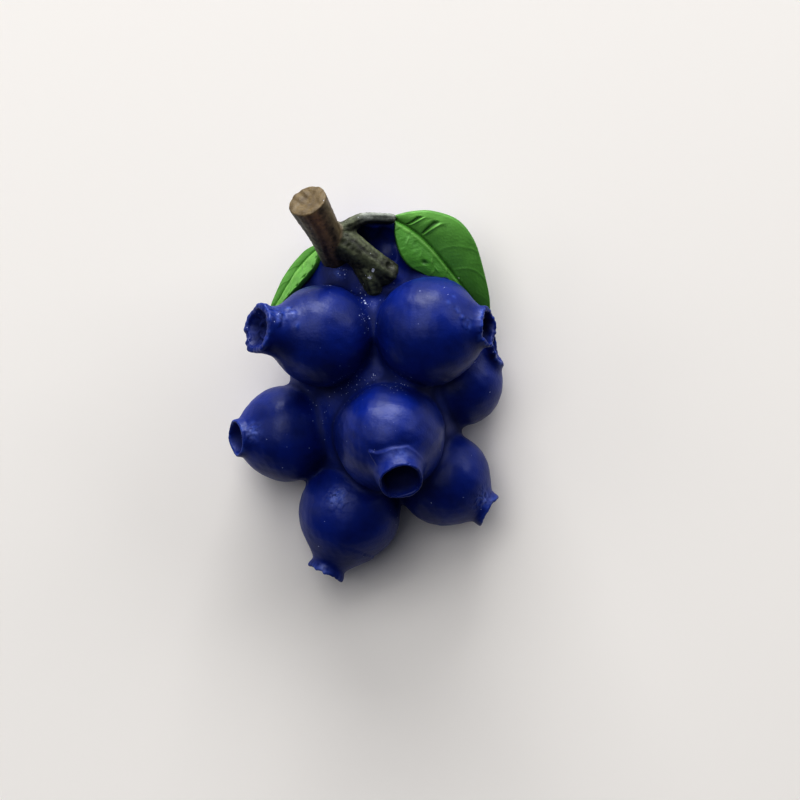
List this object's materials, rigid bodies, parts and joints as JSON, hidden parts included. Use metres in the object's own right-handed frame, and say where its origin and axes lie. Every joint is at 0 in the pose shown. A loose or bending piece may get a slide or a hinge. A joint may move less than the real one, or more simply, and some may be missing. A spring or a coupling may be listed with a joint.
{
  "type": "painted resin blueberry bunch",
  "caption": "Cast resin bunch of fused blueberries with hollow flared crowns, under a thick cut twig and folded leaves, flat at the back so that it lies on a surface.",
  "frame": {"origin": "on the flat back, under the middle of the bunch", "axes": "+Z out of the surface that the flat back rests on, +Y from the berries towards the cut twig, +X to the right as seen from above"},
  "size_m": [0.0396, 0.0557, 0.0248],
  "materials": {
    "blue_paint": "hand-painted cast resin, satin, deep ultramarine blue with small white chips in the grooves",
    "bark_paint": "hand-painted cast resin, matte, brown and grey-olive bark with a tan cut end",
    "green_paint": "hand-painted cast resin, satin, leaf green, lighter near the stalk and along the rims"
  },
  "bodies": {
    "root": {"berry_cluster": "blue_paint", "twig": "bark_paint", "leaf_right": "green_paint", "leaf_left": "green_paint"}
  },
  "joints": []
}
